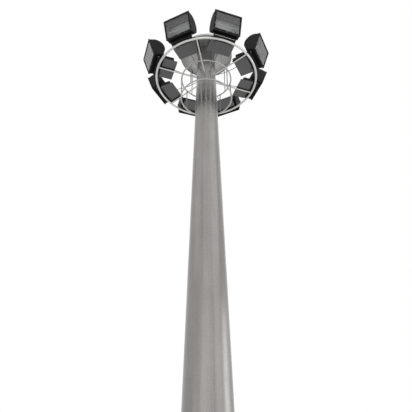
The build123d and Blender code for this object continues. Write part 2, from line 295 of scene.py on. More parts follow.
def mirror_sheet(name, tone, rough):
    """Bright rolled aluminium with faint clouds."""
    n = Nodes(name)
    base = n.clouds((0.25, 0.25, 0.25), 2.0, (tone * 0.93,) * 3, (tone * 1.06,) * 3)
    roughness = n.drift((0.2, 0.2, 0.2), rough - 0.02, rough + 0.02)
    return n.show(n.shader(Base_Color=base, Metallic=1.0, Roughness=roughness))


def frosted(name):
    """Quartz bulb with a milky, faintly clouded wall."""
    n = Nodes(name)
    base = n.clouds((0.02, 0.02, 0.05), 3.0, (0.78, 0.79, 0.78), (0.9, 0.9, 0.89))
    return n.show(n.shader(Base_Color=base, Roughness=0.18, Transmission_Weight=0.35, IOR=1.46))


RUBBED = (0.02, 0.02, 0.02)  # worn edges of the black finishes
ZINC = galvanised("galvanised", (0.247, 0.237, 0.228), 0.26, spangle=0.018, streak=0.035)
ZINC_BRIGHT = galvanised("galvanised_ring", (0.60, 0.60, 0.59), 0.38)
ZINC_MID = galvanised("galvanised_hoop", (0.42, 0.42, 0.41), 0.38)
ZINC_DULL = galvanised("galvanised_tube", (0.26, 0.26, 0.255), 0.40)
ZINC_DARK = galvanised("galvanised_conduit", (0.12, 0.12, 0.117), 0.42)
CANOPY = painted(
    "canopy_sheet", (0.55, 0.55, 0.545), 0.30, wear=(0.55, 0.55, 0.545), peel=0.0001, dust=0.0, flake=0.75
)
BLACK = painted("black_paint", (0.004, 0.004, 0.004), 0.6, wear=RUBBED, dust=0.1, gloss=0.08)
HOUSING = painted("housing_paint", (0.006, 0.006, 0.0058), 0.62, wear=RUBBED, dust=0.12, gloss=0.10)
TRAY = painted("tray_paint", (0.082, 0.081, 0.079), 0.5, wear=(0.12, 0.12, 0.12), gloss=0.2)
RUBBER = painted("rubber", (0.008, 0.008, 0.008), 0.6, wear=RUBBED, peel=0.0002, gloss=0.1)
CERAMIC = painted("ceramic", (0.68, 0.67, 0.63), 0.35, wear=(0.6, 0.6, 0.58), peel=0.0002)
GLASS = pane("lamp_glass")
REFLECTOR = mirror_sheet("reflector_sheet", 0.40, 0.40)
# painted shade: a darker copy of the reflector sheet for the lower trough, which reflects more of the studio's
# light than the upper sheet
SHADED_TROUGH = mirror_sheet("shaded_reflector_trough", 0.30, 0.42)
QUARTZ = frosted("quartz_tube")
MATERIALS = {
    "galvanised_steel": ZINC,
    "canopy_sheet": CANOPY,
    "black_paint": BLACK,
    "housing_paint": HOUSING,
    "tray_paint": TRAY,
    "lamp_glass": GLASS,
    "reflector_sheet": REFLECTOR,
}
TUBE_FINISHES = {
    "outer_ring": ZINC_BRIGHT,
    "ring_spokes": ZINC_BRIGHT,
    "upper_hoop": ZINC_MID,
    "lower_hoop": ZINC_MID,
    "hoop_posts": ZINC_DULL,
    "canopy_struts": ZINC_DULL,
    "supply_conduits": ZINC_DARK,
}

for part in frame["record"]["subparts"]:
    shown = NODES[part["node"]]
    shown.data.materials.clear()
    shown.data.materials.append(TUBE_FINISHES.get(part["node"], MATERIALS[part["material_slot"]]))


# ---- studio --------------------
WHITE = (1.0, 1.0, 1.0, 1.0)
SOFT_LIGHT = 0.7             # of the world on the object; rays that look at it see white
FLOOR_RADIUS = 60.0
FLOOR_GLOW = 0.7             # share of plain white in what is seen of the floor
HIGH_PANELS = (("front", 0, 0.38), ("left", -65, 0.30), ("right", 55, 0.60), ("back", 170, 0.5))
HIGH_DISTANCE = 16
HIGH_HEIGHT = 19
HIGH_AIM = 9.5               # height on the mast at which the high panels look
HIGH_SIZE = (16, 12)
LOW_SPREAD = 110             # degrees
LOW_PANELS = (               # name, place, size and radiance; each looks level at the mast
    ("low_front", (-2, -17, 6), (18, 11), 0.75),
    ("low_right", (12.3, -10.3, 6), (11, 11), 0.68),
    ("low_left", (-13, -11, 3), (13, 5), 0.48),
    ("strip_wide", (13, 1.5, 4.5), (12, 9), 0.95),
    ("strip", (13, 0.5, 4.5), (5, 8), 1.1),
)


def seen_directly(tree):
    """1 for camera, glossy and transmission rays, and 0 for the rays that light the object."""
    path = tree.nodes.new("ShaderNodeLightPath")
    seen = path.outputs["Is Camera Ray"]
    for kind in ("Is Glossy Ray", "Is Transmission Ray"):
        either = tree.nodes.new("ShaderNodeMath")
        either.operation = "MAXIMUM"
        tree.links.new(seen, either.inputs[0])
        tree.links.new(path.outputs[kind], either.inputs[1])
        seen = either.outputs[0]
    return seen


def make_world():
    world = bpy.data.worlds.new("studio")
    bpy.context.scene.world = world
    world.use_nodes = True
    tree = world.node_tree
    tree.nodes.clear()
    out = tree.nodes.new("ShaderNodeOutputWorld")
    mix = tree.nodes.new("ShaderNodeMixShader")
    tree.links.new(seen_directly(tree), mix.inputs[0])
    for socket, strength in ((mix.inputs[1], SOFT_LIGHT), (mix.inputs[2], 1.0)):
        sky = tree.nodes.new("ShaderNodeBackground")
        sky.inputs["Color"].default_value = WHITE
        sky.inputs["Strength"].default_value = strength
        tree.links.new(sky.outputs[0], socket)
    tree.links.new(mix.outputs[0], out.inputs["Surface"])


def make_floor():
    """Pale floor that looks nearly white and keeps a soft share of the object's shadow."""
    bm = bmesh.new()
    bmesh.ops.create_circle(bm, cap_ends=True, segments=96, radius=FLOOR_RADIUS)
    mesh = bpy.data.meshes.new("floor")
    bm.to_mesh(mesh)
    bm.free()
    floor = bpy.data.objects.new("floor", mesh)
    bpy.context.scene.collection.objects.link(floor)
    n = Nodes("floor")
    base = n.clouds((3.0, 3.0, 3.0), 3.0, (0.80, 0.80, 0.80), (0.84, 0.84, 0.84))
    matt = n.shader(Base_Color=base, Roughness=0.8)
    glow = n.node("Emission")
    glow.inputs["Color"].default_value = WHITE
    glow.inputs["Strength"].default_value = 1.0
    share = n.node("Math")
    share.operation = "MULTIPLY"
    n.link(seen_directly(n.tree), share.inputs[0])
    share.inputs[1].default_value = FLOOR_GLOW
    mix = n.node("MixShader")
    n.link(share.outputs[0], mix.inputs[0])
    n.link(matt.outputs[0], mix.inputs[1])
    n.link(glow.outputs[0], mix.inputs[2])
    mesh.materials.append(n.show(mix))


def area_light(name, place, aim, size, radiance, spread=180):
    """Soft panel with a radiance straight ahead, which looks at a height on the mast.

    A spread below 180 degrees keeps it off the floor.
    """
    data = bpy.data.lights.new(name, "AREA")
    data.shape = "RECTANGLE"
    data.size, data.size_y = size
    data.energy = radiance * math.pi * size[0] * size[1]
    if spread < 180:
        half = math.radians(spread / 2)
        data.spread = 2 * half
        data.energy *= 1 - half / math.tan(half)
    lamp = bpy.data.objects.new(name, data)
    bpy.context.scene.collection.objects.link(lamp)
    lamp.location = place
    lamp.rotation_euler = (Vector((0, 0, aim)) - Vector(place)).to_track_quat("-Z", "Y").to_euler()


make_world()
make_floor()
for name, azimuth, radiance in HIGH_PANELS:
    place = mast_point(math.radians(azimuth), HIGH_DISTANCE, HIGH_HEIGHT)
    area_light(name, place, HIGH_AIM, HIGH_SIZE, radiance)
for name, place, size, radiance in LOW_PANELS:
    area_light(name, place, place[2], size, radiance, LOW_SPREAD)


# ---- mesh helpers --------------------
FLIP = Matrix.Rotation(math.pi, 4, "X")


def finish_piece(name, bm, material, smooth=35.0, body="mast"):
    """Turns a bmesh into a piece of the object."""
    bmesh.ops.recalc_face_normals(bm, faces=bm.faces)
    mesh = bpy.data.meshes.new(name)
    bm.to_mesh(mesh)
    bm.free()
    for polygon in mesh.polygons:
        polygon.use_smooth = True
    mesh.set_sharp_from_angle(angle=math.radians(smooth))
    mesh.materials.append(material)
    piece = bpy.data.objects.new(name, mesh)
    bpy.context.scene.collection.objects.link(piece)
    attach(piece, body)
    return piece


def placed(origin, x_axis, z_axis):
    """Matrix of a plane with its x direction and its normal."""
    z = Vector(z_axis).normalized()
    x = (Vector(x_axis) - z * Vector(x_axis).dot(z)).normalized()
    y = z.cross(x)
    matrix = Matrix((x, y, z)).transposed().to_4x4()
    matrix.translation = Vector(origin)
    return matrix


def upright(angle, radius, height):
    """Matrix that faces outward from the mast: x along the ring, y up."""
    return placed(mast_point(angle, radius, height), sideways(angle), outward(angle))


def level(angle, radius, height):
    """Matrix of a level plane: x along the ring."""
    return placed(mast_point(angle, radius, height), sideways(angle), (0, 0, 1))


def shifted(plane, x, y, z=0.0):
    """Plane moved along its own directions."""
    return plane @ Matrix.Translation((x, y, z))


def offset_outline(outline, distance):
    """Outline with every edge moved inward by a distance."""
    moved = []
    count = len(outline)
    for index in range(count):
        before = Vector(outline[index - 1])
        here = Vector(outline[index])
        after = Vector(outline[(index + 1) % count])
        one = (here - before).normalized()
        two = (after - here).normalized()
        normal_one = Vector((-one.y, one.x))
        normal_two = Vector((-two.y, two.x))
        middle = normal_one + normal_two
        moved.append(here + middle * (distance / max(0.3, middle.dot(normal_one))))
    return moved


def bridge(bm, low, high):
    """Band of faces between two loops of vertices."""
    for i in range(len(low)):
        j = (i + 1) % len(low)
        bm.faces.new((low[i], low[j], high[j], high[i]))


def skin(bm, loops, closed=False):
    """Faces through a row of loops: back to the first one where closed, or else with two end faces."""
    for low, high in zip(loops, loops[1:] + loops[:1] if closed else loops[1:]):
        bridge(bm, low, high)
    if not closed:
        bm.faces.new(list(reversed(loops[0])))
        bm.faces.new(loops[-1])


def prism(bm, outline, matrix, height, chamfer=0.0, start=0.0):
    """Solid between two copies of a counter-clockwise outline, with chamfered rims."""
    rim = offset_outline(outline, chamfer) if chamfer else outline
    layers = [(start, rim), (start + height, rim)]
    if chamfer:
        layers[1:1] = [(start + chamfer, outline), (start + height - chamfer, outline)]
    skin(bm, [[bm.verts.new(matrix @ Vector((*p, z))) for p in points] for z, points in layers])


def round_outline(radius, count=24, start=0.0):
    return [
        (radius * math.cos(start + math.tau * i / count), radius * math.sin(start + math.tau * i / count))
        for i in range(count)
    ]


def hexagon(flats):
    return round_outline(flats / math.sqrt(3), 6)


def rectangle(width, height, radius=0.0, steps=4):
    """Outline of a rectangle, with rounded corners where a radius is given."""
    x, y = width / 2, height / 2
    if not radius:
        return [(-x, -y), (x, -y), (x, y), (-x, y)]
    points = []
    for corner, (sx, sy) in enumerate(((1, 1), (-1, 1), (-1, -1), (1, -1))):
        for step in range(steps + 1):
            angle = math.pi / 2 * (corner + step / steps)
            points.append((
                sx * (x - radius) + radius * math.cos(angle),
                sy * (y - radius) + radius * math.sin(angle),
            ))
    return points


def bolt(bm, matrix, flats, head, washer, stud=0.0):
    """Washer, hexagon nut or head, and the end of the stud, seated on the matrix's plane."""
    prism(bm, round_outline(flats * 0.98), matrix, washer, washer * 0.2)
    prism(bm, hexagon(flats), matrix, head, flats * 0.05, washer)
    if stud:
        prism(bm, round_outline(flats * 0.31, 16), matrix, stud, flats * 0.04, washer + head)


def tube(bm, points, radius, sides=8, closed=False):
    """Round tube along points."""
    points = [Vector(p) for p in points]
    count = len(points)
    turns = [math.tau * i / sides for i in range(sides)]
    loops = []
    side = None
    for index, point in enumerate(points):
        before = points[index - 1] if closed or index else point
        after = points[(index + 1) % count] if closed or index + 1 < count else point
        along = (after - before).normalized()
        if side is None:
            side = along.orthogonal().normalized()
        side = (side - along * side.dot(along)).normalized()
        up = along.cross(side)
        spokes = [side * math.cos(turn) + up * math.sin(turn) for turn in turns]
        loops.append([bm.verts.new(point + spoke * radius) for spoke in spokes])
    skin(bm, loops, closed)


def beading(bm, plane, outline, radius, rise=0.0):
    """Round bead all along an outline, at a height over its plane."""
    tube(bm, [plane @ Vector((*p, rise)) for p in outline], radius, closed=True)


# ---- floodlight details --------------------
BEZEL_BAR = 0.028            # width of the bezel's bars
BEZEL_SCREW_LINE = 0.014     # from the bezel's outer edge to the middle of its screws
HOUSING_FLAT = 0.100         # depth of the housing's flat flanks, before its back curves
REFLECTOR_INSET = 0.015      # from the housing's outside
REFLECTOR_FRONT = -0.004     # front edge of the inner sheets, behind the bezel's rear face
REFLECTOR_SHEET = 0.0015
REFLECTOR_EDGE = 8.0         # degrees above level where the bright reflector ends at the back
SEAM_LOW, SEAM_HIGH = 54.0, 63.0     # degrees above level between the reflector's two pieces
# black ribbed sheet below the reflector, which paints the shade of the lamp's lower inside
SHADE_SHEET_INSET = 0.016
SHADE_SHEET_STEP = 7.2            # degrees from a fold of the ribbed sheet to the next
SHADE_SHEET_FOLD = 0.006          # depth of its ribs
LAMP_RISE, LAMP_DEPTH = 0.045, -0.165    # the lamp's tube, from the middle of the bezel's rear face
HOLDER_REACH = 0.075         # from the housing's side to the end of the lamp's tube
SEAM_SECTION = (             # of an end cap's seam: from the cap's face, and out from the shell
    (0.003, -0.012), (0.003, 0.002), (-0.014, 0.002), (-0.014, -0.0005), (0.0, -0.0005), (0.0, -0.012)
)
PIN_REACH = 0.009            # just over the radius of the tilting pin
PIN_TO_WASHER = 0.0095       # from the pin's end to just outside the stirrup's leg
PIN_TO_COLLAR = 0.034        # from the pin's end to the middle of the collar inside the lug
COLLAR_WIDTH = 0.006


def extent(points):
    """Lowest and highest corner of points."""
    low = Vector([min(p[i] for p in points) for i in range(3)])
    high = Vector([max(p[i] for p in points) for i in range(3)])
    return low, high


class Lamp:
    """Directions and sizes of one floodlight: x along the ring, y up the glass, z out of it."""

    def __init__(self, body):
        self.body = body
        self.number = body.rsplit("_", 1)[1]
        joint = JOINTS[body]
        across = Vector(joint["axis"]).normalized()
        largest = max(NODES[f"glass_{self.number}"].data.polygons, key=lambda polygon: polygon.area)
        gaze = largest.normal.copy()
        if gaze.dot(Vector((joint["pos_m"][0], joint["pos_m"][1], 0))) < 0:
            gaze.negate()
        self.matrix = placed((0, 0, 0), across, gaze)
        low, high = extent(self.own_points("bezel"))
        middle = Vector(((low.x + high.x) / 2, (low.y + high.y) / 2, low.z))
        self.matrix = placed(self.matrix @ middle, across, gaze)
        self.bezel_low, self.bezel_high = extent(self.own_points("bezel"))
        self.shell_low, self.shell_high = extent(self.shell_points())
        self.pivot = self.matrix.inverted() @ Vector(joint["pos_m"])

    def own_points(self, node):
        """A node's points in the floodlight's own directions."""
        back = self.matrix.inverted()
        return [back @ point for point in node_points(f"{node}_{self.number}")]

    def shell_points(self):
        """Points of the housing without the lugs below it and the pins beside it."""
        points = self.own_points("housing")
        top = max(p.y for p in points)
        points = [p for p in points if p.y > -top - 0.001]
        wide = max(abs(p.x) for p in points if p.y > 0)
        return [p for p in points if abs(p.x) <= wide + 0.0001]

    def plane(self, x, y, z, normal="z"):
        """Matrix at a point of the floodlight, facing along one of its directions."""
        turn = self.matrix.to_3x3()
        across, up, gaze = turn.col[0].copy(), turn.col[1].copy(), turn.col[2].copy()
        directions = {"x": (gaze, across), "y": (across, up), "z": (across, gaze)}
        return placed(self.matrix @ Vector((x, y, z)), *directions[normal])

    def bowl(self, degrees, inset):
        """Point (y, z) of the housing's section at an angle above level, moved inward."""
        angle = math.radians(degrees)
        half = self.shell_high.y - inset
        depth = -self.shell_low.z - HOUSING_FLAT - inset
        return half * math.sin(angle), -HOUSING_FLAT - depth * math.cos(angle)

    def bowls(self, angles, inset):
        return [self.bowl(degrees, inset) for degrees in angles]

    def finish(self, name, bm, material, slot, smooth=35.0):
        return finish_piece(f"{name}_{self.number}", bm, material, smooth, self.body)


def sheet_strip(bm, lamp, section, half_width, thickness):
    """Folded sheet across the floodlight that follows a section of (y, z) points."""
    rows = []
    for index, (y, z) in enumerate(section):
        before = Vector(section[max(0, index - 1)])
        after = Vector(section[min(len(section) - 1, index + 1)])
        along = (after - before).normalized()
        inner = (y, z)
        outer = (y + along.y * thickness, z - along.x * thickness)
        ends = ((-half_width, inner), (half_width, inner), (half_width, outer), (-half_width, outer))
        rows.append([bm.verts.new(lamp.matrix @ Vector((x, *point))) for x, point in ends])
    skin(bm, rows)


def end_cheek(bm, lamp, x, section, thickness):
    """Flat end plate with the outline of a section."""
    matrix = lamp.plane(x, 0, 0, "x")
    back = matrix.inverted()
    outline = []
    for y, z in section:
        point = back @ (lamp.matrix @ Vector((x, y, z)))
        outline.append((point.x, point.y))
    area = sum(
        outline[i - 1][0] * outline[i][1] - outline[i][0] * outline[i - 1][1]
        for i in range(len(outline))
    )
    if area < 0:
        outline.reverse()
    prism(bm, outline, matrix, thickness)


def make_reflector(lamp):
    """Bright faceted upper sheet with end cheeks, in place of the plain reflector, and its trough in a darker copy
    of the sheet's finish, which paints shade on it.
    """
    half_width = lamp.shell_high.x - REFLECTOR_INSET
    top = lamp.bowl(90, REFLECTOR_INSET)[0]
    upper = [(top, REFLECTOR_FRONT), (top, -HOUSING_FLAT * 0.5)]
    upper += lamp.bowls((90, 81, 72, SEAM_HIGH), REFLECTOR_INSET)
    bm = bmesh.new()
    sheet_strip(bm, lamp, upper, half_width, REFLECTOR_SHEET)
    outline = [(top, REFLECTOR_FRONT)]
    outline += lamp.bowls((90, 75, 60, 45, 30, 15, 0, -30, -60, -90), REFLECTOR_INSET)
    outline.append((-top, REFLECTOR_FRONT))
    for x in (-half_width, half_width - REFLECTOR_SHEET):
        end_cheek(bm, lamp, x, outline, REFLECTOR_SHEET)
    piece = lamp.finish("reflector_facets", bm, REFLECTOR, "reflector_sheet", smooth=4.0)
    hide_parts(f"reflector_{lamp.number}")
    lower = lamp.bowls((SEAM_LOW, 45, 36, 27, 17, REFLECTOR_EDGE), REFLECTOR_INSET)
    bm = bmesh.new()
    sheet_strip(bm, lamp, lower, half_width, REFLECTOR_SHEET)
    # the trough gets the darker copy of the reflector sheet: painted shade
    lamp.finish("shaded_reflector_trough", bm, SHADED_TROUGH, "reflector_sheet", smooth=4.0)


def make_painted_shade_sheets(lamp):
    """Painted shade: a black ribbed sheet below the reflector, where the lamp's lower inside is dark, and a black
    strip behind the reflector's seam, which paints a dark reflection line.
    """
    half_width = lamp.shell_high.x - 0.017
    ribs = [lamp.bowl(REFLECTOR_EDGE - 1, SHADE_SHEET_INSET)]
    for index in range(13):
        depth = SHADE_SHEET_INSET + (SHADE_SHEET_FOLD if index % 2 else 0.0)
        ribs.append(lamp.bowl(REFLECTOR_EDGE - 6 - index * SHADE_SHEET_STEP, depth))
    bottom = lamp.bowl(-90, SHADE_SHEET_INSET)[0]
    ribs += [(bottom, -HOUSING_FLAT * 0.6), (bottom, REFLECTOR_FRONT)]
    # black strip in the gap between the reflector's two pieces: a painted dark reflection line
    seam = lamp.bowls((SEAM_HIGH + 0.5, (SEAM_HIGH + SEAM_LOW) / 2, SEAM_LOW - 0.5), 0.0148)
    bm = bmesh.new()
    sheet_strip(bm, lamp, ribs, half_width, 0.0012)
    sheet_strip(bm, lamp, seam, half_width, 0.0010)
    # painted shade: both sheets are black where the lamp's inside is only dark
    lamp.finish("painted_shade_sheets", bm, BLACK, "black_paint", smooth=20.0)


def make_light_source(lamp):
    """Tube of the lamp between its two holders, with a square plate behind each."""
    half = lamp.shell_high.x - HOLDER_REACH
    bm = bmesh.new()
    start = lamp.plane(-half, LAMP_RISE, LAMP_DEPTH, "x")
    prism(bm, round_outline(0.011, 20), start, 2 * half, 0.004)
    lamp.finish("lamp_tube", bm, QUARTZ, "lamp_glass")
    bm = bmesh.new()
    for side in (-1, 1):
        foot = side * (lamp.shell_high.x - 0.0165)
        start = lamp.plane(min(foot, side * half), LAMP_RISE, LAMP_DEPTH, "x")
        prism(bm, round_outline(0.016, 20), start, abs(foot - side * half) + 0.01, 0.003)
        plate = side * (lamp.shell_high.x - 0.022)
        start = lamp.plane(min(plate, plate + side * 0.004), LAMP_RISE, LAMP_DEPTH, "x")
        prism(bm, rectangle(0.07, 0.07, 0.01), start, 0.004, 0.001)
    lamp.finish("lamp_holders", bm, CERAMIC, "canopy_sheet")


def make_gasket(lamp):
    """Black rubber gasket on the pane, all round inside the bezel."""
    width = 0.016
    half_x = lamp.bezel_high.x - BEZEL_BAR - width / 2
    half_y = lamp.bezel_high.y - BEZEL_BAR - width / 2
    front = lamp.bezel_high.z - 0.0063
    bm = bmesh.new()
    for side in (-1, 1):
        across = rectangle(2 * half_x + width, width)
        prism(bm, across, lamp.plane(0, side * half_y, front), 0.0045, 0.0015)
        along = rectangle(width, 2 * half_y - width)
        prism(bm, along, lamp.plane(side * half_x, 0, front), 0.0045, 0.0015)
    lamp.finish("pane_gasket", bm, RUBBER, "black_paint")


def make_bezel_screws(lamp):
    """Screws round the front frame, with a hexagon socket in those of its upper and lower bar."""
    high = lamp.bezel_high
    face = high.z - 0.0004
    bm = bmesh.new()
    for x in (-1, -0.5, 0, 0.5, 1):
        for y in (-1, 1):
            if abs(x) == 0.5 and y == 1:
                continue
            spot = lamp.plane(x * (high.x - BEZEL_SCREW_LINE), y * (high.y - BEZEL_SCREW_LINE), face)
            prism(bm, round_outline(0.0065, 16), spot, 0.0028, 0.0008)
            prism(bm, hexagon(0.005), spot, 0.0002, 0, 0.0028)
    for x in (-1, 1):
        for y in (-0.33, 0.33):
            spot = lamp.plane(x * (high.x - BEZEL_SCREW_LINE), y * high.y, face)
            prism(bm, round_outline(0.0065, 16), spot, 0.0028, 0.0008)
    lamp.finish("bezel_screws", bm, ZINC_DULL, "galvanised_steel")


def make_bezel_latches(lamp):
    """Two latches on top of the front frame and two hinges below it."""
    bm = bmesh.new()
    for x in (-0.16, 0.16):
        base = lamp.plane(x, lamp.bezel_high.y - 0.0006, 0.004, "y")
        prism(bm, rectangle(0.046, 0.030, 0.004), base, 0.0026, 0.0008)
        lever = lamp.plane(x, lamp.bezel_high.y + 0.002, 0.002, "y")
        prism(bm, rectangle(0.030, 0.034, 0.006), lever, 0.0046, 0.0014)
    for x in (-0.18, 0.18):
        knuckle = lamp.plane(x - 0.028, lamp.bezel_low.y - 0.0035, 0.006, "x")
        for start in (0.0, 0.019, 0.038):
            prism(bm, round_outline(0.0045, 14), knuckle, 0.0175, 0.0008, start)
    lamp.finish("bezel_latches", bm, BLACK, "black_paint")


def make_housing_rims(lamp):
    """Folded seams round both end caps, with their rivets."""
    bm = bmesh.new()
    rivets = bmesh.new()
    for side in (-1, 1):
        edge = side * lamp.shell_high.x
        loops = []
        for y, z in lamp.bowls(range(-90, 91, 10), 0.0):
            normal = Vector((y, z + HOUSING_FLAT)).normalized()
            section = [(edge + side * x, y + normal.x * out, z + normal.y * out) for x, out in SEAM_SECTION]
            loops.append([bm.verts.new(lamp.matrix @ Vector(point)) for point in section])
        for low, high in zip(loops, loops[1:]):
            bridge(bm, low, high)
        for y, z in lamp.bowls((-72, -36, 0, 36, 72), 0.022):
            x = edge if side > 0 else edge - 0.0022
            prism(rivets, round_outline(0.0045, 12), lamp.plane(x, y, z, "x"), 0.0022, 0.0008)
    lamp.finish("housing_seams", bm, HOUSING, "housing_paint", smooth=25.0)
    lamp.finish("housing_rivets", rivets, ZINC_DULL, "galvanised_steel")


def make_back_ribs(lamp):
    """Pressed ribs on the curved back of the housing."""
    bm = bmesh.new()
    for x in (-0.21, -0.14, -0.07, 0.0, 0.07, 0.14, 0.21):
        section = lamp.bowls(range(-54, 55, 9), 0.0005)
        tube(bm, [lamp.matrix @ Vector((x, y, z)) for y, z in section], 0.0055)
    lamp.finish("housing_ribs", bm, HOUSING, "housing_paint", smooth=50.0)


def make_pivot_bolts(lamp):
    """Washers and nuts on both ends of the tilting pin, and the collars at the lugs."""
    y, z = lamp.pivot.y, lamp.pivot.z
    pin = [p for p in lamp.own_points("housing") if math.hypot(p.y - y, p.z - z) < PIN_REACH]
    pin_end = max(p.x for p in pin)
    bm = bmesh.new()
    for side in (-1, 1):
        spot = lamp.plane(side * (pin_end - PIN_TO_WASHER), y, z, "x")
        if side < 0:
            spot = spot @ FLIP
        bolt(bm, spot, 0.024, 0.010, washer=0.0022, stud=0.003)
        inner = lamp.plane(side * (pin_end - PIN_TO_COLLAR) - COLLAR_WIDTH / 2, y, z, "x")
        prism(bm, round_outline(0.013, 20), inner, COLLAR_WIDTH, 0.001)
    lamp.finish("pivot_nuts", bm, ZINC_DULL, "galvanised_steel")


for lamp_body in LAMPS:
    lamp = Lamp(lamp_body)
    make_reflector(lamp)
    make_painted_shade_sheets(lamp)
    make_light_source(lamp)
    make_gasket(lamp)
    make_bezel_screws(lamp)
    make_bezel_latches(lamp)
    make_housing_rims(lamp)
    make_back_ribs(lamp)
    make_pivot_bolts(lamp)


# ---- mast details --------------------
HOOP_STEPS = 96
STIRRUP_SHEET = 0.008
FLANGE_RISE = 0.055          # of the stirrups' flanges, which stay clear of the tilting housings
FLANGE_END_GAP = 0.024       # from a stirrup's leg to its flange, past the housing's lug
POST_RADIUS = 0.011
STRUT_RADIUS = 0.010
FOOT_WELD_SIDE = 0.0085      # from the ring's centre line to the beads under a stirrup's foot
FOOT_WELD_SPAN = 0.11        # radians from the middle of a foot to the ends of its beads
SEAM_ANGLE = math.radians(11)
GUSSET_FOOT = 0.709          # radius at which the gussets end on the flange
GUSSET_SIDE = 0.0085         # from a gusset's middle to its beads
STUD_TURN = 0.0055           # from a thread on the anchor studs to the next
CANOPY_RIM = 0.055
CANOPY_RISE = 0.130          # from the top of the rim to the foot of the cap
CANOPY_CAP_RADIUS = 0.090
CONDUIT_RISE = 0.062         # above the ring, where the conduits leave the shaft
GLAND_RISE = 0.095           # above the ring, where they enter the gear boxes
SAME_TUBE = 0.1              # radians within which points belong to one tube
DOOR_ANGLE = math.pi

door_low, door_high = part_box("service_door")
DOOR_FACE = door_high.y
DOOR_MIDDLE = (door_low.z + door_high.z) / 2
DOOR_HALF_WIDTH = (door_high.x - door_low.x) / 2
DOOR_HALF_HEIGHT = (door_high.z - door_low.z) / 2


def joint_bead(bm, centre, small_axis, small_radius, big_axis, big_radius, bead):
    """Weld bead where a thin tube runs into a thick one whose axis passes the centre."""
    along = Vector(small_axis).normalized()
    big = Vector(big_axis).normalized()
    across = along.cross(big).normalized()
    points = []
    for step in range(24):
        angle = math.tau * step / 24
        aside = small_radius * math.cos(angle)
        reach = math.sqrt(max(0.0, big_radius**2 - aside**2))
        offset = across * aside + big * (small_radius * math.sin(angle))
        points.append(Vector(centre) + along * reach + offset)
    tube(bm, points, bead, closed=True)


def hoop(bm, radius, height, bead, sides=8):
    """Round bead all round the mast."""
    points = [mast_point(math.tau * i / HOOP_STEPS, radius, height) for i in range(HOOP_STEPS)]
    tube(bm, points, bead, sides, closed=True)


def tube_angles(points):
    """Angles of separate tubes, from the middle of each group of points."""
    groups = []
    for point in points:
        angle = bearing(point) % math.tau
        for group in groups:
            turn = (angle - group[0] + math.pi) % math.tau - math.pi
            if abs(turn) < SAME_TUBE:
                group[1] += turn
                group[2] += 1
                break
        else:
            groups.append([angle, 0.0, 1])
    return sorted(first + turns / count for first, turns, count in groups)


def spoke_ends():
    """Points of the spokes near the ring."""
    reach = RING_RADIUS - RING_TUBE - 0.012
    return [p for p in node_points("ring_spokes") if math.hypot(p.x, p.y) > reach]


def station_points(node, radius, aside):
    """A node's points near the first floodlight: distance out, distance aside and height."""
    out, side = outward(LAMP_ANGLES[0]), sideways(LAMP_ANGLES[0])
    points = [(p.dot(out), abs(p.dot(side)), p.z) for p in node_points(node)]
    return [p for p in points if p[0] > radius and p[1] < aside]


def station_size(node):
    """Inner radius, outer radius and half width of one gear tray or gear box."""
    points = station_points(node, 0.7, 0.33)
    radii = [p[0] for p in points]
    return min(radii), max(radii), max(p[1] for p in points)


def make_head_welds():
    """Beads where spokes, posts and struts meet the ring, the hoops and the shaft."""
    bm = bmesh.new()
    for angle in tube_angles(spoke_ends()):
        middle = mast_point(angle, RING_RADIUS, RING_HEIGHT)
        joint_bead(bm, middle, -outward(angle), SPOKE_RADIUS, sideways(angle), RING_TUBE, 0.0035)
        axis = Vector((0, 0, RING_HEIGHT))
        joint_bead(bm, axis, outward(angle), SPOKE_RADIUS, (0, 0, 1), shaft_radius(RING_HEIGHT), 0.0045)
    for angle in tube_angles(node_points("hoop_posts")):
        for height, way in ((RING_HEIGHT, -1), (LOWER_HEIGHT, 1)):
            middle = mast_point(angle, HOOP_RADIUS, height)
            joint_bead(bm, middle, (0, 0, way), POST_RADIUS, sideways(angle), HOOP_TUBE, 0.0025)
    for angle in tube_angles(node_points("canopy_struts")):
        middle = mast_point(angle, HOOP_RADIUS, RING_HEIGHT)
        joint_bead(bm, middle, (0, 0, 1), STRUT_RADIUS, sideways(angle), HOOP_TUBE, 0.0025)
    for angle in LAMP_ANGLES:
        for offset in (-FOOT_WELD_SIDE, FOOT_WELD_SIDE):
            turns = [angle + FOOT_WELD_SPAN * (step - 6) / 6 for step in range(13)]
            height = RING_HEIGHT + RING_TUBE - 0.0015
            tube(bm, [mast_point(turn, RING_RADIUS + offset, height) for turn in turns], 0.0028)
    finish_piece("head_weld_beads", bm, ZINC_DULL, smooth=60.0)


def make_shaft_seam():
    """Long weld down the shaft."""
    bm = bmesh.new()
    rise = SHAFT_TOP - 0.002 - FLANGE_TOP
    heights = [FLANGE_TOP + rise * step / 59 for step in range(60)]
    points = [mast_point(SEAM_ANGLE, shaft_radius(height) - 0.0042, height) for height in heights]
    tube(bm, points, 0.0060, 12)
    finish_piece("shaft_long_weld", bm, ZINC, smooth=60.0)


def make_base_welds():
    """Fillets between the flange and the shaft, and on both sides of the gussets."""
    bm = bmesh.new()
    foot_radius = shaft_radius(FLANGE_TOP)
    hoop(bm, foot_radius + 0.001, FLANGE_TOP + 0.001, 0.008, 10)
    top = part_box("base_gussets")[1].z
    for index in range(ANCHORS["count"]):
        angle = math.radians(90) + math.tau * (index + 0.5) / ANCHORS["count"]
        for side in (-1, 1):
            aside = sideways(angle) * (side * GUSSET_SIDE)
            spots = [(radius, FLANGE_TOP + 0.0005) for radius in (foot_radius + 0.012, GUSSET_FOOT)]
            tube(bm, [mast_point(angle, *spot) + aside for spot in spots], 0.0055)
            heights = (FLANGE_TOP + 0.012, (FLANGE_TOP + top) / 2, top - 0.006)
            spots = [(shaft_radius(height) + 0.0005, height) for height in heights]
            tube(bm, [mast_point(angle, *spot) + aside for spot in spots], 0.0055)
    finish_piece("base_weld_beads", bm, ZINC_DULL, smooth=60.0)


